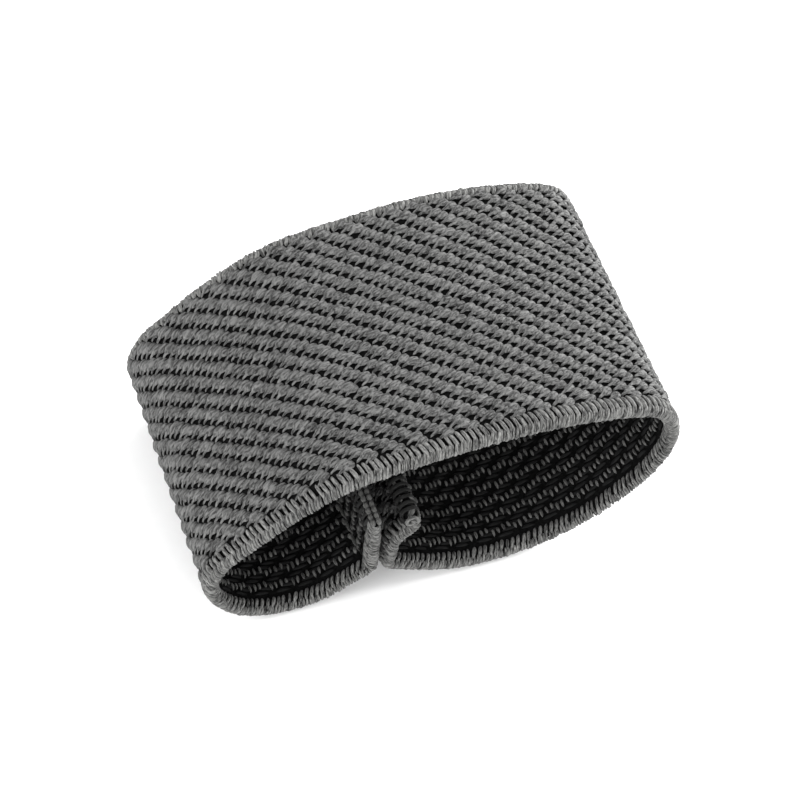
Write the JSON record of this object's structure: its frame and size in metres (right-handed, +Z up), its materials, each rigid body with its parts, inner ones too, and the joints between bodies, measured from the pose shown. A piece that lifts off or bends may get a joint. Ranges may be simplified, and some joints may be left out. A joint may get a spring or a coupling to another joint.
{
  "type": "elastic wrist band",
  "caption": "Wide woven elastic wrist band sewn end to end into a stretchy loop, with a diagonal twill outer face, closed selvedges and both sewn ends turned up inside.",
  "frame": {"origin": "bottom centre of the bounding box, on the surface that the loop lies on", "axes": "+X along the loop's length towards the larger lobe, +Y along the loop's axis and the band's width, +Z up"},
  "size_m": [0.0674, 0.04, 0.0329],
  "materials": {
    "outer_twill": "charcoal textured polyester yarn, warp-faced diagonal twill",
    "inner_weave": "near-black yarn with short pale weft floats",
    "selvedge": "charcoal yarn, one rounded rib per pick",
    "rubber_core": "extruded rubber thread, dusted matt",
    "overlock_thread": "grey spun sewing thread",
    "seam_thread": "dark grey spun sewing thread"
  },
  "bodies": {
    "seam": {"crown_outer_face": "outer_twill", "crown_inner_face": "inner_weave", "crown_elastic_cores": "rubber_core", "crown_front_selvedge": "selvedge", "crown_rear_selvedge": "selvedge", "right_root_outer_face": "outer_twill", "right_root_inner_face": "inner_weave", "right_root_elastic_cores": "rubber_core", "right_root_front_selvedge": "selvedge", "right_root_rear_selvedge": "selvedge", "left_root_outer_face": "outer_twill", "left_root_inner_face": "inner_weave", "left_root_elastic_cores": "rubber_core", "left_root_front_selvedge": "selvedge", "left_root_rear_selvedge": "selvedge", "seam_lockstitch": "seam_thread"},
    "right_loop": {"right_loop_outer_face": "outer_twill", "right_loop_inner_face": "inner_weave", "right_loop_elastic_cores": "rubber_core", "right_loop_front_selvedge": "selvedge", "right_loop_rear_selvedge": "selvedge"},
    "left_loop": {"left_loop_outer_face": "outer_twill", "left_loop_inner_face": "inner_weave", "left_loop_elastic_cores": "rubber_core", "left_loop_front_selvedge": "selvedge", "left_loop_rear_selvedge": "selvedge"},
    "right_tail": {"right_tail_outer_face": "outer_twill", "right_tail_inner_face": "inner_weave", "right_tail_elastic_cores": "rubber_core", "right_tail_front_selvedge": "selvedge", "right_tail_rear_selvedge": "selvedge", "right_tail_overlock": "overlock_thread"},
    "left_tail": {"left_tail_outer_face": "outer_twill", "left_tail_inner_face": "inner_weave", "left_tail_elastic_cores": "rubber_core", "left_tail_front_selvedge": "selvedge", "left_tail_rear_selvedge": "selvedge", "left_tail_overlock": "overlock_thread"}
  },
  "joints": [
    {"name": "right_stretch", "type": "slide", "parent": "seam", "child": "right_loop", "axis": [1, 0, 0], "range_m": [0, 0.02], "stiffness_N_per_m": 200},
    {"name": "left_stretch", "type": "slide", "parent": "seam", "child": "left_loop", "axis": [-1, 0, 0], "range_m": [0, 0.012], "stiffness_N_per_m": 200},
    {"name": "right_end_fold", "type": "hinge", "parent": "seam", "child": "right_tail", "pos_m": [-0.00724, 0, 0.0086], "axis": [0, 1, 0], "range_deg": [-12, 42], "stiffness_Nm_per_rad": 0.002},
    {"name": "left_end_fold", "type": "hinge", "parent": "seam", "child": "left_tail", "pos_m": [-0.00974, 0, 0.0086], "axis": [0, -1, 0], "range_deg": [-12, 80], "stiffness_Nm_per_rad": 0.002}
  ],
  "couplings": [
    {"joint": "left_stretch", "follows": "right_stretch", "ratio": 0.6}
  ]
}
